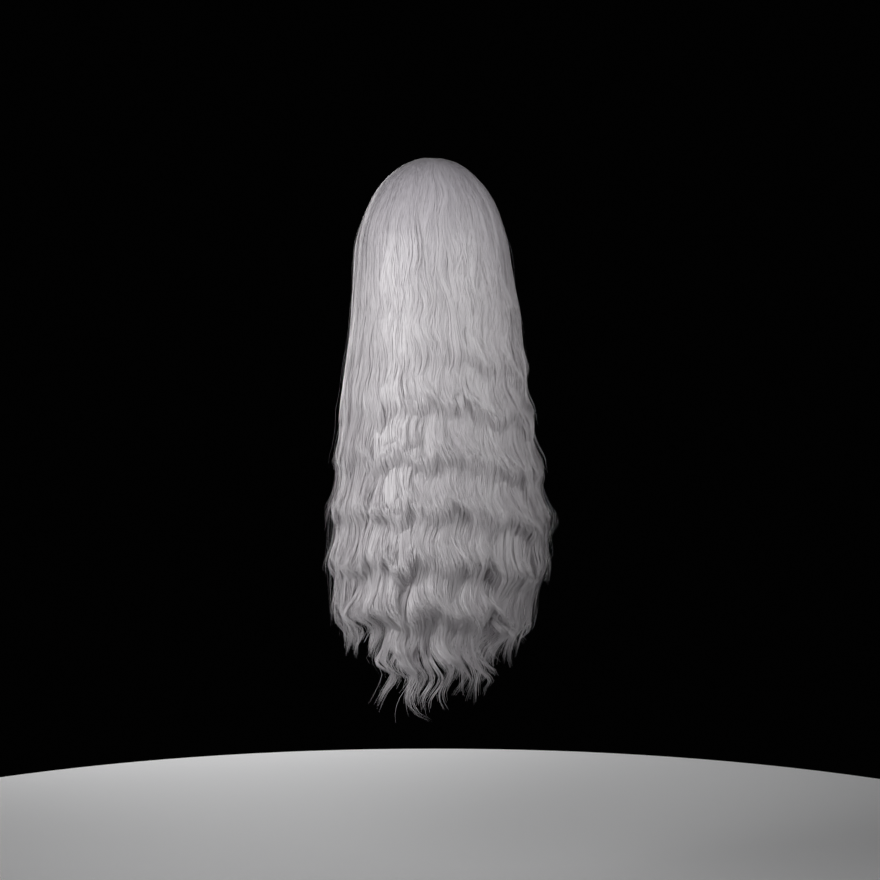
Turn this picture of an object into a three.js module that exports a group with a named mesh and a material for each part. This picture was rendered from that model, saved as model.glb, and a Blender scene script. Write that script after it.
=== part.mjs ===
// Long wavy lace front wig: a net cap, a lace strip at the hairline, and hair in fused locks.
// Millimetres, +Z up. The origin is the cap's inner crown, where the top of a head seats.
// The face opens towards -Y, and +X is the wearer's left.
import * as THREE from "three";
import { mergeVertices } from "three/addons/utils/BufferGeometryUtils.js";

const { lerp, smoothstep, degToRad } = THREE.MathUtils;

// Driving sizes
const HEAD = { halfWidth: 76, halfLength: 98, height: 105 }; // inside of the cap, 55 cm round
const CAP_WALL = 1.4;
const LACE_WALL = 1;
const SEAT_GAP = 2.4; // cap to hair at a facet's corners, about 0.4 at its middle
const EDGE_GAP = 0.45; // each panel's edge stands back by this from the next panel
const LAYER_GAP = { head: 1, hem: 3.2 }; // between the back hair and the nape hair under it
const ROOT_HEIGHT = 12; // top of the hair over the head at the part
const SIDE_HEIGHT = 15.5; // top of the hair over the head at its widest line
const HEIGHT_RISE = 60; // degrees from the part where the hair starts to rise to its side height
const WELD = 1e-4; // corners closer than this are one vertex
const CAP_GRID = { columns: 36, rows: 8 }; // columns from ear to ear, rows from the part to the rim
const LACE_GRID = { columns: 3, rows: 26 }; // columns from rear to front, rows from ear to ear

// The hair parts along the middle from the forehead to the crown. across runs from -1 at the
// right front edge over 0 at the middle of the back to 1 at the left front edge.
const CROWN_LEAN = 6; // degrees behind the top of the head
const HAIRLINE_LEAN = -61; // degrees in front of the top of the head
const BACK_EDGE = 0.36; // across, where the back hair meets the side hair
const NAPE_EDGE = 0.335;
const CAP_EDGE = 0.835; // across, front edge of the net cap
const LACE_EDGES = { rear: 0.845, front: 1.07 };
const LACE_END = 100; // degrees from the part, past the widest line
const SQUARE = 90; // degrees from the part to the widest line

// Lower rim of the cap, a row for each place: degrees from the part, past the widest line
const CAP_RIM = [
  { across: 0, angle: 116 },
  { across: 0.3, angle: 115 },
  { across: 0.6, angle: 101 },
  { across: 0.74, angle: 92 }, // over the ear
  { across: CAP_EDGE, angle: 97 }, // tab in front of the ear
];

// Outline of the hanging hair, a row for each level below the widest line:
// half widths, depths, degrees from the back to the front edge, and the hair's thickness
const FALL = [
  { drop: 0, left: 91.5, right: 91.5, back: 113.5, front: 113.5, wrap: 128, wall: 11.7 },
  { drop: 80, left: 96.5, right: 105, back: 113, front: 106, wrap: 131, wall: 16 },
  { drop: 165, left: 107, right: 115, back: 116, front: 98, wrap: 135, wall: 19 },
  { drop: 250, left: 113, right: 129, back: 121, front: 91, wrap: 139, wall: 22 },
  { drop: 320, left: 118, right: 137, back: 126, front: 88, wrap: 141, wall: 23 },
  { drop: 380, left: 118, right: 129, back: 125, front: 86, wrap: 141, wall: 23 },
  { drop: 440, left: 110, right: 112, back: 118, front: 83, wrap: 139, wall: 21 },
  { drop: 545, left: 95, right: 93, back: 108, front: 76, wrap: 138, wall: 18 },
];

// Thickness of the nape hair, a row for each level
const NAPE = [
  { drop: 28, wall: 1.8 },
  { drop: 45, wall: 6.5 },
  { drop: 90, wall: 11 },
  { drop: 545, wall: 11 },
];

// The waves: how far they go out, sideways, and sideways at the tips, and where they begin and are full
const WAVE = { length: 60.5, start: 0.283, out: 4.2, side: 3, tipSide: 7, from: 40, full: 330 };

// How far the waves of each place run ahead of the middle of the back, in wave lengths
const WAVE_LEAD = [
  { across: -1, lead: -0.3 },
  { across: -0.5, lead: -0.38 },
  { across: -0.3, lead: -0.06 },
  { across: 0, lead: 0 },
  { across: 0.3, lead: -0.04 },
  { across: 0.5, lead: -0.14 },
  { across: 1, lead: -0.28 },
];

// Rows of the hair's surface: degrees from the part, then levels, then shares of the free ends
const DOME_ANGLES = [1.6, 16, 32, 48, 62, 76];
const CALM_DROPS = [0, 40, 78, 110];
const SPLIT_DROP = 365; // below this the locks of the top layer hang apart
const NAPE_SPLIT_DROP = 410;
const END_ROWS = 8;
const VALLEY = { head: 1.5, hem: 4.5 }; // depth of the grooves between locks
const TIP = { width: 0.1, thickness: 0.2, power: 2 }; // shares left at the end of a lock

// The hair panels. A row for each lock, from the wearer's right to left: its share of the panel's
// width, the level of its tip, and how far the tip flicks sideways.
const PANELS = {
  hair_right: {
    from: -1,
    to: -BACK_EDGE,
    locks: [
      { share: 0.9, tip: 446, flick: 5 },
      { share: 1.1, tip: 464, flick: 3 },
      { share: 1, tip: 464, flick: -4 },
      { share: 0.9, tip: 458, flick: -6 },
      { share: 1.1, tip: 474, flick: -8 },
      { share: 1, tip: 490, flick: -5 },
    ],
  },
  hair_back: {
    from: -BACK_EDGE,
    to: BACK_EDGE,
    locks: [
      { share: 0.9, tip: 496, flick: -7 },
      { share: 1.1, tip: 486, flick: -9 },
      { share: 0.8, tip: 470, flick: -8 },
      { share: 1.2, tip: 487, flick: -12 },
      { share: 1, tip: 476, flick: -9 },
      { share: 1.1, tip: 490, flick: -4 },
      { share: 0.9, tip: 472, flick: -6 },
      { share: 1, tip: 484, flick: 4 },
    ],
  },
  hair_left: {
    from: BACK_EDGE,
    to: 1,
    locks: [
      { share: 1, tip: 478, flick: 3 },
      { share: 1.1, tip: 474, flick: 6 },
      { share: 0.9, tip: 470, flick: 8 },
      { share: 1, tip: 468, flick: 4 },
      { share: 1.1, tip: 458, flick: -2 },
      { share: 0.9, tip: 444, flick: -5 },
    ],
  },
};
const NAPE_LOCKS = [
  { share: 1, tip: 522, flick: -18 },
  { share: 0.9, tip: 531, flick: -12 },
  { share: 1.1, tip: 524, flick: -14 },
  { share: 1, tip: 541, flick: -9 },
  { share: 0.9, tip: 534, flick: -3 },
  { share: 1.1, tip: 530, flick: 14 },
];

// Smooth curves through a table: one value for each column at any place between its rows
function curves(table, along) {
  const places = table.map((row) => row[along]);
  const names = Object.keys(table[0]).filter((name) => name !== along);
  const through = names.map(
    (name) => new THREE.CubicInterpolant(places, table.map((row) => row[name]), 1),
  );
  return (place) => Object.fromEntries(names.map((name, i) => [name, through[i].evaluate(place)[0]]));
}

const capRimAt = curves(CAP_RIM, "across");
const fallAt = curves(FALL, "drop");
const napeAt = curves(NAPE, "drop");
const waveLeadAt = curves(WAVE_LEAD, "across");

// The head

// Place over the head: angle runs from the part over the widest line and on towards the neck
function headPoint(across, angle, height) {
  const turn = degToRad(across * FALL[0].wrap);
  const forward = Math.max(0, (Math.abs(across) - BACK_EDGE) / (1 - BACK_EDGE));
  const lean = degToRad(lerp(CROWN_LEAN, HAIRLINE_LEAN, forward));
  const sine = Math.sin(degToRad(angle));
  const cosine = Math.cos(degToRad(angle));
  const direction =
    angle < SQUARE
      ? new THREE.Vector3(
          Math.sin(turn) * sine,
          lerp(Math.sin(lean), Math.cos(turn), sine),
          Math.cos(lean) * cosine,
        ).normalize()
      : new THREE.Vector3(Math.sin(turn) * sine, Math.cos(turn) * sine, cosine);
  return new THREE.Vector3(
    (HEAD.halfWidth + height) * direction.x,
    (HEAD.halfLength + height) * direction.y,
    (HEAD.height + height) * direction.z - HEAD.height,
  );
}

// The hair

function wavePhase(across, drop) {
  return 2 * Math.PI * (drop / WAVE.length + WAVE.start + waveLeadAt(across).lead);
}

// Place in the hanging hair: inset is measured in from the outline, which the waves carry out and in
function fallPoint(across, drop, inset) {
  const at = fallAt(drop);
  const turn = degToRad(across * at.wrap);
  const sine = Math.sin(turn);
  const cosine = Math.cos(turn);
  const width = sine > 0 ? at.left : at.right;
  const depth = cosine > 0 ? at.back : at.front;
  const normal = new THREE.Vector2(sine / width, cosine / depth).normalize();
  const swell = WAVE.out * smoothstep(drop, WAVE.from, WAVE.full);
  const out = swell * Math.cos(wavePhase(across, drop)) - inset;
  return new THREE.Vector3(
    width * sine + normal.x * out,
    depth * cosine + normal.y * out,
    -HEAD.height - drop,
  );
}

// The hair's outer and inner faces at a row, as heights over the head or insets from the outline
const heightOverHead = (angle) => lerp(ROOT_HEIGHT, SIDE_HEIGHT, smoothstep(angle, HEIGHT_RISE, SQUARE));
const topLayer = {
  outer: (row) => (row.angle < SQUARE ? heightOverHead(row.angle) : 0),
  inner: (row) => (row.angle < SQUARE ? CAP_WALL + SEAT_GAP : fallAt(row.drop).wall),
};
const underLayer = {
  outer: (row) => fallAt(row.drop).wall + lerp(LAYER_GAP.head, LAYER_GAP.hem, row.drop / FALL.at(-1).drop),
  inner: (row) => underLayer.outer(row) + napeAt(row.drop).wall,
};

// A point of a panel: depth is 0 at the inner face and 1 at the outer one, groove lowers the outer
// face, and shift moves the point along the panel
function hairPoint(layer, across, row, depth, groove, shift) {
  const onHead = row.angle < SQUARE;
  const towardsOutside = onHead ? -1 : 1;
  const outer = layer.outer(row) + towardsOutside * groove;
  const level = lerp(layer.inner(row), outer, depth);
  const place = (at) => (onHead ? headPoint(at, row.angle, level) : fallPoint(at, row.drop, level));
  const step = 0.004;
  const sideways = place(across + step).sub(place(across - step)).normalize();
  const reach = lerp(WAVE.side, WAVE.tipSide, row.end) * smoothstep(row.drop, WAVE.from, WAVE.full);
  const sway = onHead ? 0 : reach * Math.sin(wavePhase(across, row.drop));
  return place(across).addScaledVector(sideways, sway + shift);
}

// The outer face of a lock has these stations across it, and the inner face only its edges
const OUTER_STATIONS = [-1, -0.5, 0, 0.5, 1];
const INNER_STATIONS = [1, -1];

// One ring of points round a lock, outer face first
function lockRing(layer, lock, row) {
  const narrowing = Math.pow(row.end, TIP.power);
  const half = lock.half * lerp(1, TIP.width, narrowing);
  const thickness = lerp(1, TIP.thickness, narrowing);
  const fallen = row.angle < SQUARE ? 0 : row.drop / FALL.at(-1).drop;
  const valley = lerp(VALLEY.head * (row.angle / SQUARE), VALLEY.hem, fallen);
  const point = (station, face) => {
    const edge = lock.edges.includes(station) ? -station * EDGE_GAP : 0;
    const depth = lerp(0.5, face, thickness);
    const shift = edge + lock.flick * row.end * row.end;
    return hairPoint(layer, lock.middle + station * half, row, depth, valley * station * station, shift);
  };
  return [...OUTER_STATIONS.map((s) => point(s, 1)), ...INNER_STATIONS.map((s) => point(s, 0))];
}

// Locks side by side, fused above the split row and hanging apart below it
function hairPanel(layer, panel, rowsOf, splitRow) {
  const shares = panel.locks.reduce((sum, lock) => sum + lock.share, 0);
  const triangles = [];
  let start = panel.from;
  panel.locks.forEach((row, index) => {
    const half = ((panel.to - panel.from) * row.share) / shares / 2;
    const first = index === 0;
    const last = index === panel.locks.length - 1;
    const edges = [...(first ? [-1] : []), ...(last ? [1] : [])];
    const lock = { ...row, half, middle: start + half, edges };
    start += 2 * half;
    const rings = rowsOf(lock).map((level) => lockRing(layer, lock, level));
    triangles.push(...lockFaces(rings, splitRow, first, last));
  });
  return solid(triangles);
}

function lockFaces(rings, splitRow, first, last) {
  const corners = rings[0].length;
  const leftWall = OUTER_STATIONS.length - 1; // ring side from the outer face to the inner one
  const rightWall = corners - 1;
  const faces = [...fan(rings[0]).map((face) => face.reverse()), ...fan(rings.at(-1))];
  for (let row = 0; row + 1 < rings.length; row++)
    for (let side = 0; side < corners; side++) {
      const fused = row < splitRow && ((side === leftWall && !last) || (side === rightWall && !first));
      const next = (side + 1) % corners;
      const [above, below] = [rings[row], rings[row + 1]];
      if (!fused) faces.push(...quad(above[side], above[next], below[next], below[side]));
    }
  return faces;
}

// Rows of a lock, from its roots to its tip
const onHead = (angle) => ({ angle, drop: 0, end: 0 });
const hanging = (drop) => ({ angle: SQUARE, drop, end: 0 });

function evenDrops(from, to) {
  const count = Math.round((to - from) / (WAVE.length / 4));
  return Array.from({ length: count }, (_, i) => lerp(from, to, (i + 1) / count));
}

function freeEnd(split, lock) {
  return Array.from({ length: END_ROWS }, (_, i) => {
    const end = (i + 1) / END_ROWS;
    return { angle: SQUARE, drop: lerp(split, lock.tip, end), end };
  });
}

function topPanel(panel) {
  const wavyDrops = evenDrops(CALM_DROPS.at(-1), SPLIT_DROP);
  const fused = [...DOME_ANGLES.map(onHead), ...[...CALM_DROPS, ...wavyDrops].map(hanging)];
  const rowsOf = (lock) => [...fused, ...freeEnd(SPLIT_DROP, lock)];
  return hairPanel(topLayer, panel, rowsOf, fused.length - 1);
}

function napePanel() {
  const calmDrops = [NAPE[0].drop, NAPE[1].drop, ...CALM_DROPS.slice(2)];
  const wavyDrops = evenDrops(CALM_DROPS.at(-1), SPLIT_DROP);
  const lowDrops = evenDrops(SPLIT_DROP, NAPE_SPLIT_DROP);
  const fused = [...calmDrops, ...wavyDrops, ...lowDrops].map(hanging);
  const panel = { from: -NAPE_EDGE, to: NAPE_EDGE, locks: NAPE_LOCKS };
  const rowsOf = (lock) => [...fused, ...freeEnd(NAPE_SPLIT_DROP, lock)];
  return hairPanel(underLayer, panel, rowsOf, fused.length - 1);
}

// The cap and the lace

// A thin wall over a grid of places, with its edges closed. A sewn first row has no edge there:
// its two halves meet point for point.
function wall({ columns, rows }, sewnFirstRow, place) {
  const grid = (height) =>
    Array.from({ length: rows + 1 }, (_, row) =>
      Array.from({ length: columns + 1 }, (__, column) => place(column / columns, row / rows, height)),
    );
  const [inner, outer] = [grid(0), grid(1)];
  const faces = [];
  for (let r = 0; r < rows; r++)
    for (let c = 0; c < columns; c++) {
      faces.push(...quad(outer[r][c], outer[r][c + 1], outer[r + 1][c + 1], outer[r + 1][c]));
      faces.push(...quad(inner[r][c], inner[r + 1][c], inner[r + 1][c + 1], inner[r][c + 1]));
    }
  for (let r = 0; r < rows; r++) {
    faces.push(...quad(inner[r][0], outer[r][0], outer[r + 1][0], inner[r + 1][0]));
    faces.push(...quad(outer[r][columns], inner[r][columns], inner[r + 1][columns], outer[r + 1][columns]));
  }
  for (let c = 0; c < columns; c++) {
    faces.push(...quad(outer[rows][c], outer[rows][c + 1], inner[rows][c + 1], inner[rows][c]));
    if (!sewnFirstRow) faces.push(...quad(inner[0][c], inner[0][c + 1], outer[0][c + 1], outer[0][c]));
  }
  return solid(faces);
}

function netCap() {
  return wall(CAP_GRID, true, (across, down, height) => {
    const place = lerp(-CAP_EDGE, CAP_EDGE, across);
    return headPoint(place, down * capRimAt(Math.abs(place)).angle, height * CAP_WALL);
  });
}

function laceStrip() {
  return wall(LACE_GRID, false, (forward, along, height) => {
    const angle = lerp(-LACE_END, LACE_END, along);
    const side = angle < 0 ? -1 : 1;
    const across = side * lerp(LACE_EDGES.rear, LACE_EDGES.front, forward);
    return headPoint(across, Math.abs(angle), height * LACE_WALL);
  });
}

// Solids from faces

const quad = (a, b, c, d) => [
  [a, b, c],
  [a, c, d],
];

const fan = (ring) => ring.slice(1, -1).map((corner, i) => [ring[0], corner, ring[i + 2]]);

function solid(triangles) {
  const loose = new THREE.BufferGeometry().setFromPoints(triangles.flat());
  const geometry = mergeVertices(loose, WELD);
  const faces = [];
  for (let i = 0; i < geometry.index.count; i += 3) {
    const [a, b, c] = geometry.index.array.subarray(i, i + 3);
    if (a !== b && b !== c && c !== a) faces.push(a, b, c);
  }
  geometry.setIndex(faces);
  geometry.computeVertexNormals();
  return geometry;
}

// The wig

const hairFibre = new THREE.MeshStandardMaterial({ color: 0xd8d4d8, roughness: 0.45, metalness: 0 });
const capNet = new THREE.MeshStandardMaterial({ color: 0xe6e2dc, roughness: 0.85, metalness: 0 });
const frontLace = new THREE.MeshStandardMaterial({ color: 0xdcc9b6, roughness: 0.8, metalness: 0 });

function piece(name, geometry, material) {
  const mesh = new THREE.Mesh(geometry, material);
  mesh.name = name;
  return mesh;
}

const base = new THREE.Group();
base.add(piece("wig_cap", netCap(), capNet), piece("lace_front", laceStrip(), frontLace));

const hair = new THREE.Group();
for (const [name, panel] of Object.entries(PANELS)) hair.add(piece(name, topPanel(panel), hairFibre));
hair.add(piece("hair_nape", napePanel(), hairFibre));

const wig = new THREE.Group();
wig.add(base, hair);

export default wig;
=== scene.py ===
# Looks of the long wavy lace front wig: the hair as strands in wisps, the cap and the lace as nets.
import math

import bmesh
import bpy
import numpy as np
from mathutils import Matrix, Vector


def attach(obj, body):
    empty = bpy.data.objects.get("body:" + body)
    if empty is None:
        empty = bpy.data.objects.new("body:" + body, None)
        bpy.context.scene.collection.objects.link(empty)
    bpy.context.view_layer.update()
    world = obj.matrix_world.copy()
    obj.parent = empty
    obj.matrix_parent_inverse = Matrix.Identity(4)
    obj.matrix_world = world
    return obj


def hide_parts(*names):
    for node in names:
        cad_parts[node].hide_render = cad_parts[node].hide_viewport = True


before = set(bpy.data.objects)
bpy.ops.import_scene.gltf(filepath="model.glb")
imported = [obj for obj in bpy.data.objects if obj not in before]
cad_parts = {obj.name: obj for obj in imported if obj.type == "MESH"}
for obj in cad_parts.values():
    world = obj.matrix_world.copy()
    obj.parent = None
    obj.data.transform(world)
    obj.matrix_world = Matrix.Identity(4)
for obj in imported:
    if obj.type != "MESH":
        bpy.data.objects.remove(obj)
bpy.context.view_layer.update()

MM = 0.001  # sizes of the wig are in millimetres, as in the part's source, and the meshes in metres
SEED = 26
rng = np.random.default_rng(SEED)

# The form of the wig, as in the part's source

HEAD = dict(half_width=76, half_length=98, height=105)
CAP_WALL = 1.4
LACE_WALL = 1.0
INNER_HEIGHT = 3.8  # of the hair's inner face over the head
ROOT_HEIGHT = 12
SIDE_HEIGHT = 15.5
HEIGHT_RISE = 60  # degrees from the part where the hair starts to rise to its side height
SQUARE = 90  # degrees from the part to the widest line of the head
HEAD_WRAP = 128  # degrees from the middle of the back to the front edge
CROWN_LEAN = 6
HAIRLINE_LEAN = -61
BACK_EDGE = 0.36
NAPE_EDGE = 0.335
CAP_EDGE = 0.835
LACE_EDGES = (0.845, 1.07)
LACE_END = 100
CAP_RIM = dict(across=[0, 0.3, 0.6, 0.74, CAP_EDGE], angle=[116, 115, 101, 92, 97])

# Outline and thickness of the hanging hair at levels below the widest line of the head
FALL = dict(
    drop=[0, 80, 165, 250, 320, 380, 440, 545],
    left=[91.5, 96.5, 107, 113, 118, 118, 110, 95],
    right=[91.5, 105, 115, 129, 137, 129, 112, 93],
    back=[113.5, 113, 116, 121, 126, 125, 118, 108],
    front=[113.5, 106, 98, 91, 88, 86, 83, 76],
    wrap=[128, 131, 135, 139, 141, 141, 139, 138],
    wall=[11.7, 16, 19, 22, 23, 23, 21, 18],
)
NAPE = dict(drop=[28, 45, 90, 545], wall=[1.8, 6.5, 11, 11])
LAYER_GAP = dict(drop=[0, 545], gap=[1, 3.2])
SPLIT = dict(top=365, nape=410)  # levels below which the locks hang apart

# The locks of each panel from the wearer's right to left: its share of the width, the level of its tip,
# how far the tip flicks sideways, and how much the scene trims it. The shares and levels are the source's.
LOCKS = {
    "hair_right": dict(
        edges=(-1, -BACK_EDGE),
        share=[0.9, 1.1, 1, 0.9, 1.1, 1],
        tip=[446, 464, 464, 458, 474, 490],
        flick=[5, 3, -4, -6, -8, -5],
        trim=[0, 0, 0, 0, 4, 10],
    ),
    "hair_back": dict(
        edges=(-BACK_EDGE, BACK_EDGE),
        share=[0.9, 1.1, 0.8, 1.2, 1, 1.1, 0.9, 1],
        tip=[496, 486, 470, 487, 476, 490, 472, 484],
        flick=[-7, -9, -8, -12, -9, -4, -6, 4],
        trim=[10, 4, 0, 0, 0, 0, 0, 20],
    ),
    "hair_left": dict(
        edges=(BACK_EDGE, 1),
        share=[1, 1.1, 0.9, 1, 1.1, 0.9],
        tip=[478, 474, 470, 468, 458, 444],
        flick=[3, 6, 8, 4, -2, -5],
        trim=[14, 4, 0, 0, 0, 0],
    ),
    "hair_nape": dict(
        edges=(-NAPE_EDGE, NAPE_EDGE),
        share=[1, 0.9, 1.1, 1, 0.9, 1.1],
        tip=[522, 531, 524, 541, 534, 530],
        flick=[-18, -10, -8, 2, 4, 20],
        trim=[-14, 10, 8, 4, 0, -6],
    ),
}


def lerp(a, b, share):
    return a + (b - a) * share


def smoothstep(x, low, high):
    t = np.clip((x - low) / (high - low), 0, 1)
    return t * t * (3 - 2 * t)


def curve(table, along, column):
    """A smooth curve through one column of a table."""
    x, y = np.array(table[along], float), np.array(table[column], float)
    slope = np.diff(y) / np.diff(x)
    tangent = np.concatenate([slope[:1], (slope[:-1] + slope[1:]) / 2, slope[-1:]])

    def at(place):
        i = np.clip(np.searchsorted(x, place, side="right") - 1, 0, len(slope) - 1)
        step = x[i + 1] - x[i]
        t = np.clip((place - x[i]) / step, 0, 1)
        bend = tangent[i] * (1 - t) - tangent[i + 1] * t
        ease = t * t * (3 - 2 * t)
        return lerp(y[i], y[i + 1], ease) + step * t * (1 - t) * bend

    return at


cap_rim_at = curve(CAP_RIM, "across", "angle")
fall_at = {name: curve(FALL, "drop", name) for name in FALL if name != "drop"}
nape_wall_at = curve(NAPE, "drop", "wall")
layer_gap_at = curve(LAYER_GAP, "drop", "gap")


def unit(vectors):
    return vectors / np.linalg.norm(vectors, axis=-1, keepdims=True)


def head_direction(across, angle):
    """Ways out from the middle of the head: angle runs from the part over the widest line to the neck."""
    turn = np.radians(across * HEAD_WRAP)
    forward = np.maximum(0, (np.abs(across) - BACK_EDGE) / (1 - BACK_EDGE))
    lean = np.radians(lerp(CROWN_LEAN, HAIRLINE_LEAN, forward))
    sine, cosine = np.sin(np.radians(angle)), np.cos(np.radians(angle))
    x = np.sin(turn) * sine
    y = np.where(cosine > 0, lerp(np.sin(lean), np.cos(turn), sine), np.cos(turn) * sine)
    z = np.where(cosine > 0, np.cos(lean) * cosine, cosine)
    return unit(np.stack([x, y, z], axis=-1))


def over_head(direction, height):
    """Places at a height over the head."""
    sizes = np.array([HEAD["half_width"], HEAD["half_length"], HEAD["height"]])
    return direction * (sizes + np.asarray(height)[..., None]) - np.array([0, 0, HEAD["height"]])


def fall_point(across, drop, inset):
    """Places in the hanging hair: inset is measured in from the outline."""
    turn = np.radians(across * fall_at["wrap"](drop))
    sine, cosine = np.sin(turn), np.cos(turn)
    width = np.where(sine > 0, fall_at["left"](drop), fall_at["right"](drop))
    depth = np.where(cosine > 0, fall_at["back"](drop), fall_at["front"](drop))
    normal = unit(np.stack([sine / width, cosine / depth], axis=-1))
    x = width * sine - normal[..., 0] * inset
    y = depth * cosine - normal[..., 1] * inset
    return np.stack([x, y, -HEAD["height"] - drop], axis=-1)


# Meshes from arrays


def mesh_piece(name, points, face_groups, material, attributes=None, uv=None, normals=None):
    """A mesh from arrays of points in millimetres and of faces, a group for each number of corners."""
    mesh = bpy.data.meshes.new(name)
    mesh.vertices.add(len(points))
    mesh.vertices.foreach_set("co", (points * MM).astype(np.float32).ravel())
    corners = np.concatenate([faces.ravel() for faces in face_groups]).astype(np.int32)
    sizes = np.concatenate([np.full(len(faces), faces.shape[1]) for faces in face_groups])
    mesh.loops.add(len(corners))
    mesh.loops.foreach_set("vertex_index", corners)
    mesh.polygons.add(len(sizes))
    mesh.polygons.foreach_set("loop_start", (np.cumsum(sizes) - sizes).astype(np.int32))
    mesh.polygons.foreach_set("use_smooth", np.ones(len(sizes), bool))
    for attribute_name, values in (attributes or {}).items():
        layer = mesh.attributes.new(attribute_name, "FLOAT", "POINT")
        layer.data.foreach_set("value", values.astype(np.float32).ravel())
    if uv is not None:
        layer = mesh.uv_layers.new(name="OFBake")
        layer.uv.foreach_set("vector", uv[corners].astype(np.float32).ravel())
    mesh.update(calc_edges=True)
    if normals is not None:
        mesh.normals_split_custom_set_from_vertices(normals.reshape(-1, 3))
    mesh.materials.append(material)
    piece = bpy.data.objects.new(name, mesh)
    bpy.context.scene.collection.objects.link(piece)
    return piece


def finish_piece(piece, node):
    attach(piece, "root")
    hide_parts(node)


# The waves of the strands

WAVE = dict(
    length=60.5,
    start=0.36,  # in wave lengths
    out=6.0,  # how far they go out
    side=3,  # how far they go sideways
    tip_side=8,  # how far they go sideways at the tips
    crest=0.5,  # how much narrower the crests are than the valleys
    steep=0.4,  # how much steeper the hair falls from a crest than it rises to it
    full=310,  # level where they are full
    hem=1.8,  # how many times deeper they are at the hem
)

# How far the waves of each place run ahead of the middle of the back, in wave lengths
WAVE_LEAD = dict(
    across=[-1, -0.5, -0.3, -0.16, 0, 0.3, 0.5, 1],
    lead=[-0.3, -0.38, -0.34, -0.08, 0, -0.06, -0.14, -0.28],
)

# Level where the waves of each place begin
WAVE_BEGINS = dict(across=[-1, -0.25, 0.1, 0.4, 1], drop=[-60, -60, 40, 110, 110])

SWAY_LEVELS = (-60, 90)  # between which the waves sideways grow
HEM_LEVELS = (290, 440)  # between which the waves grow deeper
SIDE_GAIN = 0.55  # of the waves at the sides
SIDE_LEVELS = (0.3, 0.5)  # between which the sides begin, in across
PATCH = dict(count=6, across=(0.08, 0.3), fall=(150, 420))  # waves that make up a random pattern
LEAD_PATCH = 0.12  # how far a pattern shifts the waves
GAIN_PATCH = 0.45  # how far a pattern makes them deeper or flatter
FLOW_PATCH = 4.5  # how far a pattern moves neighbouring strands sideways together

# The strands. fall is a level along a strand: below the widest line it is the drop in millimetres,
# and above it, where it is negative, it counts back over the head towards the part.

ARC = 1.8  # millimetres over the head for each degree
STEP = dict(calm=14, wavy=8)  # between the points of a strand
CALM_END = 120  # the hair hangs almost straight down to here
RISE = (-1, 3)  # lengths along a strand between which it rises from the cap
ROOT_DIP = dict(depth=1.2, length=16)  # how much lower the hair lies near its roots
CAP_NARROWEST = 0.2  # squared share of its size down to which roots follow the cap towards the neck
VALLEY = dict(head=0.8, hem=4.0)  # depth of the grooves between locks
LAYER_MIDDLE = 0.5  # depth that the wisps of a lock draw towards at its tip
TIP_DEPTH = 0.6  # share of its distance from there that a wisp keeps
TAPER = dict(top=80, nape=110)  # length over which a wisp runs to its point
TAPER_POWER = 1.2
TIP_SHARE = 0.12  # of a wisp's width at its point
LIFT_LENGTH = 38  # over which a loose end or loop leaves the hair under it
CURL_LENGTH = 60  # over which an end curls sideways
FRAY_LENGTH = 90  # over which the strands of a wisp part towards its end
WANDER_LENGTH = 90  # from the root, over which a strand starts to wander
DRIFT_LEVELS = (-130, 150)  # between which a wisp drifts sideways
GAPS = dict(across=[-0.335, 0.27], half=[5, 5])  # where the hair opens near the hem, and how far
GAP_REACH = 0.05  # on each side of a gap, in across
GAP_EDGE = 6  # how sharply the hair parts there
GAP_LEVELS = (350, 430)  # between which the gaps open
SPREAD_STEP = 0.004  # in across, to find the way sideways

# How far the strands of a wisp spread over its place, and how round it is, from root to tip
WISP = dict(
    fall=[-160, 0, 150, 300, 545],
    spread=[2.2, 2.2, 2.2, 1.9, 1.0],
    roundness=[0.06, 0.06, 0.08, 0.25, 1.0],
)

wave_lead_at = curve(WAVE_LEAD, "across", "lead")
wave_begins_at = curve(WAVE_BEGINS, "across", "drop")
spread_at = curve(WISP, "fall", "spread")
roundness_at = curve(WISP, "fall", "roundness")


def strand_levels(root, tip, points):
    """Levels of the points of each strand, closer together where the hair waves."""
    calm = (np.minimum(tip, CALM_END) - root) / STEP["calm"]
    wavy = np.maximum(tip - CALM_END, 0) / STEP["wavy"]
    place = np.linspace(0, 1, points) * (calm + wavy)[:, None]
    in_calm = root[:, None] + place * STEP["calm"]
    in_wavy = CALM_END + (place - calm[:, None]) * STEP["wavy"]
    return np.where(place < calm[:, None], in_calm, in_wavy)


def head_angle(fall):
    return np.minimum(SQUARE + fall / ARC, SQUARE)


def hair_height(angle):
    return lerp(ROOT_HEIGHT, SIDE_HEIGHT, smoothstep(angle, HEIGHT_RISE, SQUARE))


def hair_point(across, fall, inset):
    angle = head_angle(fall)
    on_head = over_head(head_direction(across, angle), hair_height(angle) - inset)
    hanging = fall_point(across, np.maximum(fall, 0), inset)
    return np.where((fall < 0)[..., None], on_head, hanging)


def swing(fall, length, start):
    return np.sin(2 * np.pi * (fall / length + start))


def patches():
    """A smooth random pattern over the hair, mostly between -1 and 1."""
    count = PATCH["count"]
    widths = rng.uniform(*PATCH["across"], count) * rng.choice([-1, 1], count)
    heights = rng.uniform(*PATCH["fall"], count)
    starts = rng.uniform(0, 1, count)

    def at(across, fall):
        waves = [swing(fall, h, across / w + s) for w, h, s in zip(widths, heights, starts)]
        return np.sum(waves, axis=0) / math.sqrt(count)

    return at


lead_patch = patches()
gain_patch = patches()
flow_patch = patches()


def gap_shift(across, fall):
    """How far strands move aside where the hair opens near the hem."""
    shift = np.zeros_like(across)
    for place, half in zip(GAPS["across"], GAPS["half"]):
        from_gap = (across - place) / GAP_REACH
        shift = shift + half * np.tanh(GAP_EDGE * from_gap) * np.exp(-(from_gap**2))
    return shift * smoothstep(fall, *GAP_LEVELS)


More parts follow.
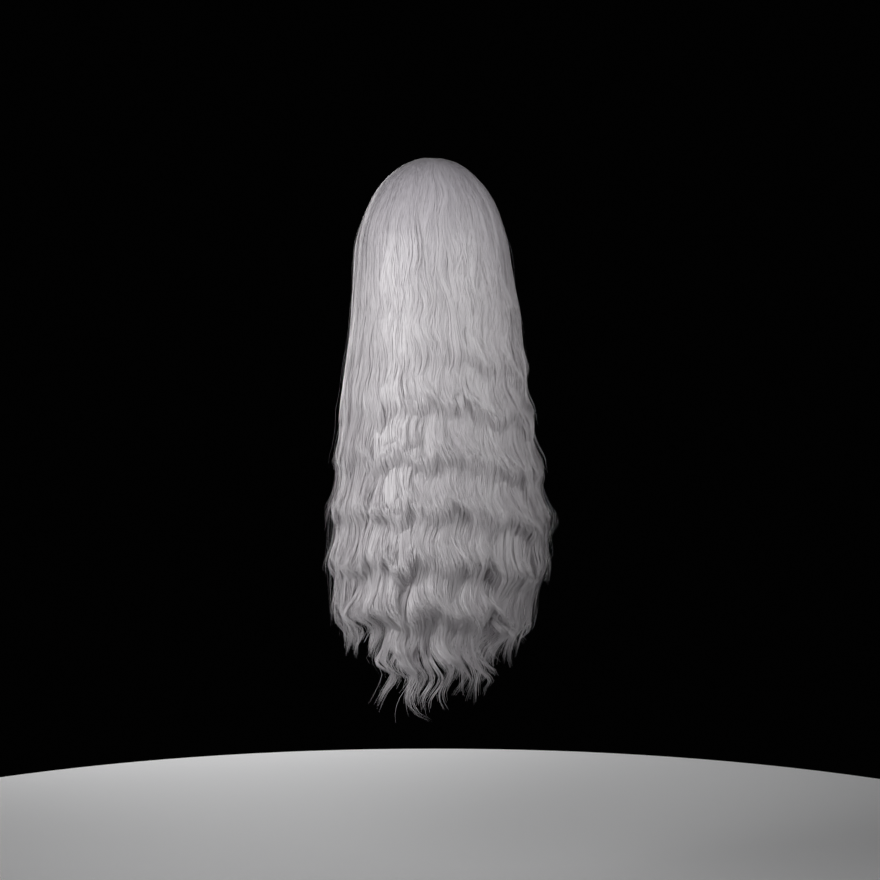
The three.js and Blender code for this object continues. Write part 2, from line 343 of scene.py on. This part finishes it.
def strand_paths(strands, points):
    """Centre lines of strands, with the ways sideways and outward at each point."""
    col = {name: np.asarray(values, float)[:, None] for name, values in strands.items()}
    fall = strand_levels(strands["root"], strands["tip"], points)
    drop = np.maximum(fall, 0)
    angle = head_angle(fall)
    from_root = fall - col["root"]
    to_tip = col["tip"] - fall

    # narrowing towards the tips of the wisp and of its lock
    wisp_end = 1 - np.clip((col["wisp_tip"] - fall) / col["taper"], 0, 1)
    lock_end = np.clip((fall - col["split"]) / (col["lock_tip"] - col["split"]), 0, 1)
    wisp_share = lerp(1, TIP_SHARE, wisp_end**TAPER_POWER)
    station = col["station"] * lerp(1, col["gather"], lock_end**2)
    spread = col["wisp_half"] * col["side"] * spread_at(fall) * wisp_share
    across = col["middle"] + col["half"] * station + spread

    # depth in the layer, with a groove between locks
    wall = fall_at["wall"](drop)
    height = hair_height(angle)
    top_thickness = np.where(fall < 0, height - INNER_HEIGHT, wall)
    thickness = np.where(col["nape"] > 0, nape_wall_at(drop), top_thickness)
    start = np.where(col["nape"] > 0, wall + layer_gap_at(drop), 0)
    hanging_valley = lerp(VALLEY["head"], VALLEY["hem"], drop / FALL["drop"][-1])
    valley = np.where(fall < 0, VALLEY["head"] * angle / SQUARE, hanging_valley)
    depth = lerp(LAYER_MIDDLE, col["depth"], lerp(1, TIP_DEPTH, lock_end**2))
    inset = start + (1 - depth) * thickness + depth * valley * station**2
    inset = inset - col["bulge"] * wisp_share * roundness_at(fall)
    inset = inset - col["lift"] * np.exp(-(((to_tip - col["lift_at"]) / LIFT_LENGTH) ** 2))

    # the root lies on the cap
    cap_scale = np.sqrt(np.clip(1 - (drop / HEAD["height"]) ** 2, CAP_NARROWEST, 1))
    neck_inset = SIDE_HEIGHT + (HEAD["half_length"] + CAP_WALL) * (1 - cap_scale) - CAP_WALL
    cap_inset = np.where(fall < 0, height - CAP_WALL, neck_inset)
    inset = inset + ROOT_DIP["depth"] * (1 - smoothstep(from_root, 0, ROOT_DIP["length"]))
    inset = lerp(cap_inset, inset, smoothstep(from_root, *RISE))

    # waves out and sideways
    gain = col["wave_gain"] * (1 + GAIN_PATCH * gain_patch(across, fall))
    sides = smoothstep(np.abs(across), *SIDE_LEVELS)
    gain = gain * lerp(1, SIDE_GAIN, sides)
    swell = smoothstep(drop, wave_begins_at(across), WAVE["full"]) * gain
    lead = WAVE["start"] + wave_lead_at(across) + col["lead"]
    turns = fall / WAVE["length"] + lead + LEAD_PATCH * lead_patch(across, fall)
    phase = 2 * np.pi * turns
    out_phase = 2 * np.pi * np.minimum(turns, col["hold"])
    out = WAVE["out"] * lerp(1, lerp(WAVE["hem"], 1, sides), smoothstep(fall, *HEM_LEVELS))
    warp = WAVE["crest"] * np.sin(out_phase) - WAVE["steep"] * np.cos(out_phase)
    inset = inset - out * swell * np.cos(out_phase + warp)
    sway_swell = smoothstep(drop, *SWAY_LEVELS) * gain
    sway = -lerp(WAVE["side"], WAVE["tip_side"], lock_end) * sway_swell * np.sin(phase)

    # other ways sideways
    wander = col["wander"] * swing(fall, col["wander_length"], col["wander_start"])
    wander = wander + col["stray"] * swing(fall, col["stray_length"], col["stray_start"])
    wander = wander + FLOW_PATCH * flow_patch(across, fall)
    over_crown = np.where(fall < 0, np.sin(np.radians(angle)), 1)
    loose = smoothstep(from_root, 0, WANDER_LENGTH) * over_crown
    drift = col["drift"] * smoothstep(fall, *DRIFT_LEVELS)
    flick = col["flick"] * lock_end**2
    curl = col["curl"] * np.clip(1 - to_tip / CURL_LENGTH, 0, 1) ** 2
    fray = col["fray"] * smoothstep(to_tip, FRAY_LENGTH, 0)
    gap = np.where(col["nape"] > 0, 0, gap_shift(across, fall))
    shift = sway + wander * loose + drift + flick + curl + fray + gap

    before = hair_point(across - SPREAD_STEP, fall, inset)
    after = hair_point(across + SPREAD_STEP, fall, inset)
    sideways = unit(after - before)
    path = (before + after) / 2 + sideways * shift[..., None]
    along = unit(np.gradient(path, axis=1))
    sideways = unit(sideways - along * np.sum(sideways * along, axis=-1, keepdims=True))
    return path, sideways, np.cross(sideways, along), roundness_at(fall)


ROUND_ROLL = 0.6  # share of the wisp's roundness that its strands turn by
TWIST_LENGTH = 0.43  # share of a strand's length in which its twist goes to and fro
ROOT_WIDTH = dict(share=0.45, growth=8)  # share of the width at the root, and its growth along the strand
TIP_WIDTH = dict(share=0.15, growth=6)
EDGE_BEND = 0.06  # how far the shading bends over the edges of a strand
BAKE_COLUMN = (0.15, 0.85)  # part of its column of the bake map that a strand takes up


def ribbons(name, strands, points, material):
    """One mesh of strands, each a thin ribbon that narrows to its root and tip."""
    path, sideways, outward, roundness = strand_paths(strands, points)
    count = len(path)
    along = np.linspace(0, 1, points)[None, :]
    bend = strands["side"][:, None] * roundness + strands["tilt"][:, None]
    twist = strands["twist"][:, None] * swing(along, TWIST_LENGTH, strands["twist_start"][:, None])
    roll = ROUND_ROLL * bend + strands["roll"][:, None] + twist
    way = sideways * np.cos(roll)[..., None] - outward * np.sin(roll)[..., None]
    from_root = np.minimum(1, ROOT_WIDTH["share"] + along * ROOT_WIDTH["growth"])
    to_tip = np.minimum(1, TIP_WIDTH["share"] + (1 - along) * TIP_WIDTH["growth"])
    profile = from_root * to_tip
    half = (strands["width"][:, None] * profile / 2)[..., None]
    corners = np.stack([path - way * half, path + way * half], axis=2)

    # the shading follows the round wisp more than the single strand
    facing = outward * np.cos(bend)[..., None] + sideways * np.sin(bend)[..., None]
    normals = unit(np.stack([facing - way * EDGE_BEND, facing + way * EDGE_BEND], axis=2))

    first = (np.arange(count)[:, None] * points + np.arange(points - 1)[None, :]) * 2
    faces = np.stack([first, first + 1, first + 3, first + 2], axis=-1).reshape(-1, 4)
    column = (np.arange(count)[:, None, None] + np.array(BAKE_COLUMN)) / count
    column, row = np.broadcast_arrays(column, along[..., None])
    uv = np.stack([column.ravel(), row.ravel()], axis=-1)
    shades = np.broadcast_to(strands["shade"][:, None, None], column.shape)
    reach = (strands["tip"] - strands["root"]) / (strands["lock_tip"] - strands["root"])
    # along, the share of the lock's length, carries the painted shade at the roots and at the ends
    attributes = dict(shade=shades, along=row * reach[:, None, None])
    return mesh_piece(name, corners.reshape(-1, 3), [faces], material, attributes, uv, normals)


# Layers of wisps in a lock, from the outside in. depth is the place in the hair's thickness, from 0 inside
# to 1 outside. wisps counts those of a lock, strands those of a wisp and points those of a strand. spread
# is the share of its place that a wisp takes up. Roots are in degrees past the part, or in the nape in
# millimetres below the widest line. shorter is how far a wisp ends above its lock's tip, and the wisps of
# a tiered layer end under crests of the waves. bulge is how far the middle of a wisp stands out, and lift
# how far its end does, or a loop of it at lift_at above the end. curl is how far the end turns sideways,
# wander how far the wisp goes to and fro, and drift, a mean and a spread, how far it moves sideways on the
# whole. frizz is how far single strands go to and fro, and scatter how far apart they end.
PART_ROOT = (-1.4, 0.4)  # the roots of both sides meet at the part
PLAIN = dict(spread=1, tiered=False, lift_at=(0, 0), frizz=0.5, scatter=42)
LAYERS = {
    "stray": dict(
        PLAIN, depth=1.0, wisps=6, strands=1, points=58, root=PART_ROOT, shorter=(10, 430),
        bulge=0.5, width=0.42, lift=(1, 7), lift_at=(5, 80), curl=(-16, 12), wander=(2, 7),
        drift=(-4, 8), frizz=3,
    ),
    "loose": dict(
        PLAIN, depth=0.97, wisps=4, strands=28, points=46, root=PART_ROOT, shorter=(20, 330),
        bulge=1.2, width=0.65, lift=(1, 4), curl=(-14, 1), wander=(3, 7), drift=(-5, 5),
        spread=0.75, tiered=True, scatter=18,
    ),
    "top": dict(
        PLAIN, depth=0.93, wisps=2, strands=70, points=58, root=PART_ROOT, shorter=(0, 20),
        bulge=2.0, width=0.75, lift=(0, 1), curl=(-5, 1), wander=(1, 4), drift=(-3, 3),
    ),
    "middle": dict(
        PLAIN, depth=0.8, wisps=2, strands=34, points=46, root=(2, 30), shorter=(2, 45),
        bulge=2.0, width=1.3, lift=(0, 1), curl=(-5, 2), wander=(1, 3), drift=(-3, 2),
    ),
    "under": dict(
        PLAIN, depth=0.5, wisps=2, strands=16, points=42, root=(30, 60), shorter=(8, 70),
        bulge=2.2, width=1.8, lift=(0, 0), curl=(-4, 4), wander=(1, 3), drift=(-3, 2),
    ),
    "inner": dict(
        PLAIN, depth=0.18, wisps=2, strands=13, points=42, root=(45, 82), shorter=(8, 90),
        bulge=2.0, width=1.9, lift=(0, 0), curl=(-4, 4), wander=(1, 3), drift=(-3, 2),
    ),
}
NAPE_LAYERS = {
    "stray": dict(
        PLAIN, depth=0.9, wisps=5, strands=3, points=54, root=(4, 26), shorter=(-4, 70),
        bulge=0.5, width=0.5, lift=(0, 6), lift_at=(0, 60), curl=(-18, 18), wander=(1, 5),
        drift=(0, 2), frizz=2,
    ),
    "top": dict(
        PLAIN, depth=0.8, wisps=4, strands=24, points=54, root=(4, 26), shorter=(-12, 44),
        bulge=2.0, width=0.7, lift=(0, 3), curl=(-9, 4), wander=(1, 4), drift=(0, 1), spread=0.55,
    ),
    "under": dict(
        PLAIN, depth=0.25, wisps=4, strands=12, points=48, root=(14, 38), shorter=(40, 100),
        bulge=2.2, width=1.4, lift=(0, 0), curl=(-6, 4), wander=(1, 3), drift=(0, 1), spread=0.6,
    ),
}

# Loose hair over the other layers of some panels
OUTER_LAYERS = {
    "flyaway": dict(
        PLAIN, panels=("hair_left", "hair_right"),
        depth=1.0, wisps=2, strands=4, points=46, root=PART_ROOT, shorter=(0, 110),
        bulge=0.5, width=0.42, lift=(4, 11), lift_at=(20, 60), curl=(-14, 14), wander=(2, 6),
        drift=(0, 4), frizz=3,
    ),
    "curl": dict(
        PLAIN, panels=("hair_back", "hair_left", "hair_right"),
        depth=1.0, wisps=2, strands=8, points=46, root=PART_ROOT, shorter=(20, 250),
        bulge=0.6, width=0.7, lift=(3, 7), curl=(-20, -4), wander=(2, 6), drift=(-3, 3),
        spread=0.4, tiered=True, scatter=12,
    ),
}
GATHER = dict(top=(0.1, 0.7), nape=(0.35, 0.95))  # share of its place that a wisp keeps at the tip
UNDER_CREST = (10, 26)  # how far below a crest the wisps of a tiered layer end
CREST_HOLD = 0.06  # wave lengths past that crest from which such a wisp stays out
POINT = dict(length=18, power=1.5)  # how much higher the outer strands of a wisp end
MIDDLE_SHADE = 0.5

# How far wisps differ from each other, and the strands of a wisp: a spread, or the least and the most
WISP_CHANCE = dict(
    station=0.15, width=(0.85, 1.3), flick=2, lead=0.035, wave_gain=(0.75, 1.25), depth=0.008,
    wander_length=(140, 300), tone=0.07,
)
STRAND_CHANCE = dict(
    bulge=(0.75, 1), lead=0.012, stray_length=(60, 150), fray=2.2, tilt=0.02, roll=0.03,
    twist=(0, 0.08), width=(0.65, 1.35), shade=0.03,
)


def locks_in(panel):
    """The locks of a panel, a column for each value."""
    table = LOCKS[panel]
    start, end = table["edges"]
    widths = np.array(table["share"]) / sum(table["share"]) * (end - start)
    return dict(
        middle=start + np.cumsum(widths) - widths / 2,
        half=widths / 2,
        lock_tip=np.array(table["tip"], float),
        flick=np.array(table["flick"], float),
        trim=np.array(table["trim"], float),
    )


def wisps_in(locks, layer, nape):
    """The wisps of one layer of a panel, a column for each value."""
    count = layer["wisps"]
    wisps = {name: np.repeat(values, count) for name, values in locks.items()}
    total = len(wisps["middle"])
    level = "nape" if nape else "top"
    chance = WISP_CHANCE
    spots = (np.arange(count) + 0.5) / count * 2 - 1
    wisps["station"] = np.tile(spots, total // count) + rng.normal(0, chance["station"], total)
    wisps["wisp_half"] = wisps["half"] / count * layer["spread"] * rng.uniform(*chance["width"], total)
    wisps["gather"] = rng.uniform(*GATHER[level], total)
    wisps["flick"] = wisps["flick"] + rng.normal(0, chance["flick"], total)
    wisps["split"] = np.full(total, SPLIT[level])
    wisps["taper"] = np.full(total, TAPER[level])
    wisps["nape"] = np.full(total, nape)
    wisps["lead"] = rng.normal(0, chance["lead"], total)
    wisps["wave_gain"] = rng.uniform(*chance["wave_gain"], total)
    wisps["depth"] = layer["depth"] + rng.normal(0, chance["depth"], total)
    wisps["lift"] = rng.uniform(*layer["lift"], total)
    wisps["lift_at"] = rng.uniform(*layer["lift_at"], total)
    wisps["curl"] = rng.uniform(*layer["curl"], total)
    wisps["wander"] = rng.uniform(*layer["wander"], total)
    wisps["drift"] = rng.normal(*layer["drift"], total)
    wisps["wander_length"] = rng.uniform(*chance["wander_length"], total)
    wisps["wander_start"] = rng.uniform(0, 1, total)
    wisps["tone"] = rng.normal(0, chance["tone"], total)
    lowest = wisps["lock_tip"] - wisps["trim"]
    wisps["wisp_tip"] = lowest - rng.uniform(*layer["shorter"], total)
    wisps["hold"] = np.full(total, np.inf)
    if layer["tiered"]:
        across = wisps["middle"] + wisps["half"] * wisps["station"]
        lead = WAVE["start"] + wave_lead_at(across) + wisps["lead"]
        lead = lead + LEAD_PATCH * lead_patch(across, wisps["wisp_tip"])
        crest = np.round(wisps["wisp_tip"] / WAVE["length"] + lead)
        under_crest = (crest - lead) * WAVE["length"] + rng.uniform(*UNDER_CREST, total)
        wisps["wisp_tip"] = np.minimum(under_crest, lowest)
        wisps["hold"] = crest + CREST_HOLD
    return wisps


def strands_in(wisps, layer, nape):
    """The strands of wisps: each wisp is a flattened round bundle."""
    count = layer["strands"]
    strands = {name: np.repeat(values, count) for name, values in wisps.items()}
    total = len(strands["middle"])
    chance = STRAND_CHANCE
    side = rng.uniform(-1, 1, total)
    strands["side"] = side
    strands["bulge"] = np.sqrt(1 - side**2) * rng.uniform(*chance["bulge"], total) * layer["bulge"]
    root = rng.uniform(*layer["root"], total)
    strands["root"] = root if nape else (root - SQUARE) * ARC
    scatter = rng.uniform(0, 1, total) ** 2 * layer["scatter"]
    ends = scatter + np.abs(side) ** POINT["power"] * POINT["length"]
    strands["tip"] = strands["wisp_tip"] - ends
    strands["lead"] = strands["lead"] + rng.normal(0, chance["lead"], total)
    strands["stray"] = rng.uniform(0, layer["frizz"], total)
    strands["stray_length"] = rng.uniform(*chance["stray_length"], total)
    strands["stray_start"] = rng.uniform(0, 1, total)
    strands["fray"] = rng.normal(0, chance["fray"], total)
    strands["tilt"] = rng.normal(0, chance["tilt"], total)
    strands["roll"] = rng.normal(0, chance["roll"], total)
    strands["twist"] = rng.uniform(*chance["twist"], total)
    strands["twist_start"] = rng.uniform(0, 1, total)
    strands["width"] = layer["width"] * rng.uniform(*chance["width"], total)
    shade = MIDDLE_SHADE + strands["tone"] + rng.normal(0, chance["shade"], total)
    strands["shade"] = np.clip(shade, 0, 1)
    return strands


# Materials


def node_material(name):
    material = bpy.data.materials.new(name)
    material.use_nodes = True
    tree = material.node_tree
    return material, tree, tree.nodes["Principled BSDF"]


def ramp(tree, stops):
    """A colour ramp from places between 0 and 1 and the colours there."""
    node = tree.nodes.new("ShaderNodeValToRGB")
    elements = node.color_ramp.elements
    while len(elements) < len(stops):
        elements.new(0.5)
    for element, (place, colour) in zip(elements, stops):
        element.position = place
        element.color = (*colour, 1)
    return node


def attribute(tree, name):
    node = tree.nodes.new("ShaderNodeAttribute")
    node.attribute_name = name
    return node.outputs["Fac"]


def multiply(tree, first, second):
    mix = tree.nodes.new("ShaderNodeMix")
    mix.data_type = "RGBA"
    mix.blend_type = "MULTIPLY"
    mix.inputs["Factor"].default_value = 1
    colours = [socket for socket in mix.inputs if socket.type == "RGBA"]
    tree.links.new(first, colours[0])
    tree.links.new(second, colours[1])
    return next(socket for socket in mix.outputs if socket.type == "RGBA")


HAIR_SHADES = [
    (0, (0.69, 0.66, 0.685)),
    (0.5, (0.83, 0.797, 0.825)),
    (1, (0.93, 0.9, 0.925)),
]
# Painted shade along the hair, by the share of its lock's length: darker at the roots and at the ends
HAIR_PAINTED_SHADE_ALONG = [
    (0, (0.5, 0.49, 0.52)),
    (0.1, (0.68, 0.67, 0.7)),
    (0.26, (1, 1, 1)),
    (0.84, (1, 1, 1)),
    (0.92, (0.9, 0.9, 0.9)),
    (1, (0.7, 0.7, 0.71)),
]


def hair_material():
    """Silver-white fibre: each strand has its own shade of white; roots and thin ends get painted shade.
    """
    material, tree, shader = node_material("hair_fibre")
    shades = ramp(tree, HAIR_SHADES)
    tree.links.new(attribute(tree, "shade"), shades.inputs["Fac"])
    # painted shade: darker at the roots and towards the ends of the locks
    painted_shade = ramp(tree, HAIR_PAINTED_SHADE_ALONG)
    tree.links.new(attribute(tree, "along"), painted_shade.inputs["Fac"])
    colour = multiply(tree, shades.outputs["Color"], painted_shade.outputs["Color"])
    tree.links.new(colour, shader.inputs["Base Color"])
    shader.inputs["Roughness"].default_value = 0.4
    shader.inputs["Specular IOR Level"].default_value = 0.6
    shader.inputs["Sheen Weight"].default_value = 0.12
    shader.inputs["Sheen Roughness"].default_value = 0.4
    return material


def thread_material(name, dark, light, grain):
    """Matt spun thread: mottled colour and a fine bump."""
    material, tree, shader = node_material(name)
    place = tree.nodes.new("ShaderNodeTexCoord").outputs["Object"]
    mottle = tree.nodes.new("ShaderNodeTexNoise")
    mottle.inputs["Scale"].default_value = grain
    mottle.inputs["Detail"].default_value = 4
    tree.links.new(place, mottle.inputs["Vector"])
    colours = ramp(tree, [(0.3, dark), (0.7, light)])
    tree.links.new(mottle.outputs["Fac"], colours.inputs["Fac"])
    tree.links.new(colours.outputs["Color"], shader.inputs["Base Color"])
    bump = tree.nodes.new("ShaderNodeBump")
    bump.inputs["Strength"].default_value = 0.4
    bump.inputs["Distance"].default_value = 0.0003
    tree.links.new(mottle.outputs["Fac"], bump.inputs["Height"])
    tree.links.new(bump.outputs["Normal"], shader.inputs["Normal"])
    shader.inputs["Roughness"].default_value = 0.82
    shader.inputs["Sheen Weight"].default_value = 0.25
    return material


# The hair

hair = hair_material()


def hair_piece(panel, label, layer):
    nape = panel == "hair_nape"
    strands = strands_in(wisps_in(locks_in(panel), layer, nape), layer, nape)
    piece = ribbons(f"{panel}_{label}", strands, layer["points"], hair)
    finish_piece(piece, panel)


for panel in ("hair_back", "hair_left", "hair_right", "hair_nape"):
    for label, layer in (NAPE_LAYERS if panel == "hair_nape" else LAYERS).items():
        hair_piece(panel, label, layer)

for label, layer in OUTER_LAYERS.items():
    for panel in layer["panels"]:
        hair_piece(panel, label, layer)

# The cap and the lace

CAP_THREAD = 0.16  # share of a mesh's size that is thread
LACE_THREAD = 0.15
NET_LEVEL = 0.5  # of the wall
CAP_CELLS = 6  # times that the faces of an icosahedron are split for the cap's net
LACE_CELLS = dict(rows=24, columns=168)
HEM = dict(angle=2.8, across=0.028)  # width of the band along the cap's edge
WEFT_ROWS = range(10, 114, 7)  # degrees from the part
WEFT = dict(angle=1.1, low=0.5, high=2.2)
BAND_STEPS = 120
REACH_STEPS = 200  # places tried for the end of a weft
FRONT_STEPS = 90  # places along the cap's front edge


def dual_net(points, triangles, thread):
    """A net of six-sided meshes: threads join the middles of neighbouring triangles."""
    corners = points[triangles]
    knots = lerp(corners.mean(axis=1, keepdims=True), corners, thread)
    sides = np.sort(np.stack([triangles, np.roll(triangles, -1, axis=1)], axis=-1), axis=-1)
    keys = (sides[..., 0] * len(points) + sides[..., 1]).ravel()
    order = np.argsort(keys, kind="stable")
    shared = np.nonzero(np.diff(keys[order]) == 0)[0]
    first, second = order[shared], order[shared + 1]

    def after(corner):
        return corner - corner % 3 + (corner % 3 + 1) % 3

    threads = np.stack([first, after(second), second, after(first)], axis=-1)
    return knots.reshape(-1, 3), [threads, np.arange(triangles.size).reshape(-1, 3)]


def sweep(rings):
    """A closed band through rings of corners."""
    count, corners = rings.shape[:2]
    first = np.arange(count - 1)[:, None] * corners + np.arange(corners)[None, :]
    after = np.arange(count - 1)[:, None] * corners + (np.arange(corners)[None, :] + 1) % corners
    sides = np.stack([first, after, after + corners, first + corners], axis=-1).reshape(-1, 4)
    ends = np.array([np.arange(corners)[::-1], np.arange(corners) + (count - 1) * corners])
    return rings.reshape(-1, 3), [np.concatenate([sides, ends])]


def band(acrosses, angles, heights):
    """A band over the head whose section has two acrosses or angles and two heights."""
    corners = [(0, 0), (1, 0), (1, 1), (0, 1)]
    rings = [
        over_head(head_direction(acrosses[place], angles[place]), np.full(BAND_STEPS, heights[level]))
        for place, level in corners
    ]
    return sweep(np.stack(rings, axis=1))


def cap_bands():
    """The hem round the cap and its rows of wefts."""
    spots = np.linspace(-CAP_EDGE, CAP_EDGE, BAND_STEPS)
    rim = cap_rim_at(np.abs(spots))
    bands = [band([spots, spots], [rim - HEM["angle"], rim], (0, CAP_WALL))]
    for side in (-1, 1):
        edge = np.full(BAND_STEPS, side * CAP_EDGE)
        down = np.linspace(0, cap_rim_at(np.array(CAP_EDGE)), BAND_STEPS)
        bands.append(band([edge - side * HEM["across"], edge], [down, down], (0, CAP_WALL)))
    for angle in WEFT_ROWS:
        reach = np.linspace(0, CAP_EDGE - HEM["across"], REACH_STEPS)
        inside = cap_rim_at(reach) > angle + HEM["angle"]
        end = reach[np.argmin(inside) - 1] if not inside.all() else reach[-1]
        row = np.linspace(-end, end, BAND_STEPS)
        low, high = np.full(BAND_STEPS, angle), np.full(BAND_STEPS, angle + WEFT["angle"])
        bands.append(band([row, row], [low, high], (WEFT["low"], WEFT["high"])))
    return bands


def on_cap(direction):
    """Which ways out from the middle of the head meet the cap."""
    x, y, z = direction.T
    across = np.degrees(np.arctan2(np.abs(x), y)) / HEAD_WRAP
    angle = np.degrees(np.arccos(np.clip(z, -1, 1)))
    below = (across < CAP_EDGE) & (angle < cap_rim_at(across))
    front = head_direction(np.full(FRONT_STEPS, CAP_EDGE), np.linspace(0, SQUARE, FRONT_STEPS))
    above = y > np.interp(np.abs(x), front[:, 0], front[:, 1])
    return np.where(z > 0, above, below)


def cap_net():
    ball = bmesh.new()
    bmesh.ops.create_icosphere(ball, subdivisions=CAP_CELLS, radius=1)
    directions = unit(np.array([vertex.co for vertex in ball.verts]))
    triangles = np.array([[vertex.index for vertex in face.verts] for face in ball.faces])
    ball.free()
    triangles = triangles[on_cap(directions)[triangles].all(axis=1)]
    points = over_head(directions, np.full(len(directions), NET_LEVEL * CAP_WALL))
    return dual_net(points, triangles, CAP_THREAD)


def lace_net():
    """Meshes in rows from the rear edge of the lace to the front one, ear to ear."""
    rows, columns = LACE_CELLS["rows"], LACE_CELLS["columns"]
    row, column = np.meshgrid(np.arange(rows), np.arange(columns), indexing="ij")
    angle = lerp(-LACE_END, LACE_END, (column + 0.5 * (row % 2)) / (columns - 0.5))
    across = np.where(angle < 0, -1, 1) * lerp(*LACE_EDGES, row / (rows - 1))
    direction = head_direction(across, np.abs(angle))
    points = over_head(direction, np.full(angle.shape, NET_LEVEL * LACE_WALL)).reshape(-1, 3)
    triangles = []
    for r in range(rows - 1):
        near, far = (r * columns, (r + 1) * columns) if r % 2 == 0 else ((r + 1) * columns, r * columns)
        c = np.arange(columns - 1)
        pair = [
            np.stack([near + c, near + c + 1, far + c], axis=-1),
            np.stack([near + c + 1, far + c + 1, far + c], axis=-1),
        ]
        triangles += pair if r % 2 == 0 else [faces[:, ::-1] for faces in pair]
    return dual_net(points, np.concatenate(triangles), LACE_THREAD)


def join_meshes(parts):
    """One array of points and one list of face groups from several."""
    points, groups, start = [], [], 0
    for part_points, part_groups in parts:
        points.append(part_points)
        groups += [faces + start for faces in part_groups]
        start += len(part_points)
    return np.concatenate(points), groups


cap_thread = thread_material("cap_net", (0.72, 0.7, 0.66), (0.86, 0.84, 0.8), grain=900)
cap_piece = mesh_piece("cap_net", *join_meshes([cap_net(), *cap_bands()]), cap_thread)
finish_piece(cap_piece, "wig_cap")

lace_thread = thread_material("front_lace", (0.6, 0.47, 0.37), (0.74, 0.6, 0.48), grain=1400)
lace_piece = mesh_piece("lace_net", *lace_net(), lace_thread)
finish_piece(lace_piece, "lace_front")

# The stage, in metres: a pale floor, soft lights and the camera straight behind the wig

VIEW_CENTRE = np.array([-0.0094, 0.0, -0.319])  # middle of the picture
VIEW_WIDTH = 1.036  # across the picture at that depth
VIEW_DISTANCE = 2.6
VIEW_ELEVATION = 2  # degrees
FLOOR = dict(level=-0.86, radius=1.0, corners=128, colour=(0.93, 0.93, 0.94, 1), roughness=0.9)
GROUND_COLOUR = (0.0005, 0.0005, 0.0005, 1)  # dark, as behind the wig in the photograph

# spread is in degrees, and size is the diameter
LIGHTS = {
    "key": dict(place=(0.3, 1.32, 0.27), target=(0, 0.1, -0.12), size=0.9, spread=90, watts=1.45),
    "left": dict(place=(1.15, 0.7, 0.1), target=(0, 0, -0.12), size=0.8, spread=90, watts=2.8),
    "right": dict(place=(-1.05, 0.8, 0.2), target=(0, 0, 0.06), size=0.8, spread=55, watts=1.0),
    "face": dict(place=(0.5, -1.8, -0.15), target=(0, 0, -0.3), size=1.5, spread=180, watts=18),
}


def aim(thing, place, target):
    thing.location = place
    way = Vector(target) - Vector(place)
    thing.rotation_euler = way.to_track_quat("-Z", "Y").to_euler()


def soft_light(name, place, target, size, spread, watts):
    light = bpy.data.lights.new(name, "AREA")
    light.shape = "DISK"
    light.size = size
    light.spread = math.radians(spread)
    light.energy = watts
    lamp = bpy.data.objects.new(name, light)
    bpy.context.scene.collection.objects.link(lamp)
    aim(lamp, place, target)


def floor():
    bpy.ops.mesh.primitive_circle_add(
        vertices=FLOOR["corners"],
        radius=FLOOR["radius"],
        fill_type="NGON",
        location=(0, 0, FLOOR["level"]),
    )
    disc = bpy.context.object
    disc.name = "floor"
    material, _, shader = node_material("floor")
    shader.inputs["Base Color"].default_value = FLOOR["colour"]
    shader.inputs["Roughness"].default_value = FLOOR["roughness"]
    disc.data.materials.append(material)


floor()
for name, light in LIGHTS.items():
    soft_light(name, **light)

world = bpy.data.worlds.new("studio")
world.use_nodes = True
world.node_tree.nodes["Background"].inputs["Color"].default_value = GROUND_COLOUR
bpy.context.scene.world = world
bpy.context.scene.view_settings.view_transform = "Standard"

camera = bpy.data.objects.new("camera", bpy.data.cameras.new("camera"))
bpy.context.scene.collection.objects.link(camera)
camera.data.lens = camera.data.sensor_width * VIEW_DISTANCE / VIEW_WIDTH
rise = math.radians(VIEW_ELEVATION)
offset = np.array([0, math.cos(rise), math.sin(rise)]) * VIEW_DISTANCE
aim(camera, VIEW_CENTRE + offset, VIEW_CENTRE)
bpy.context.scene.camera = camera
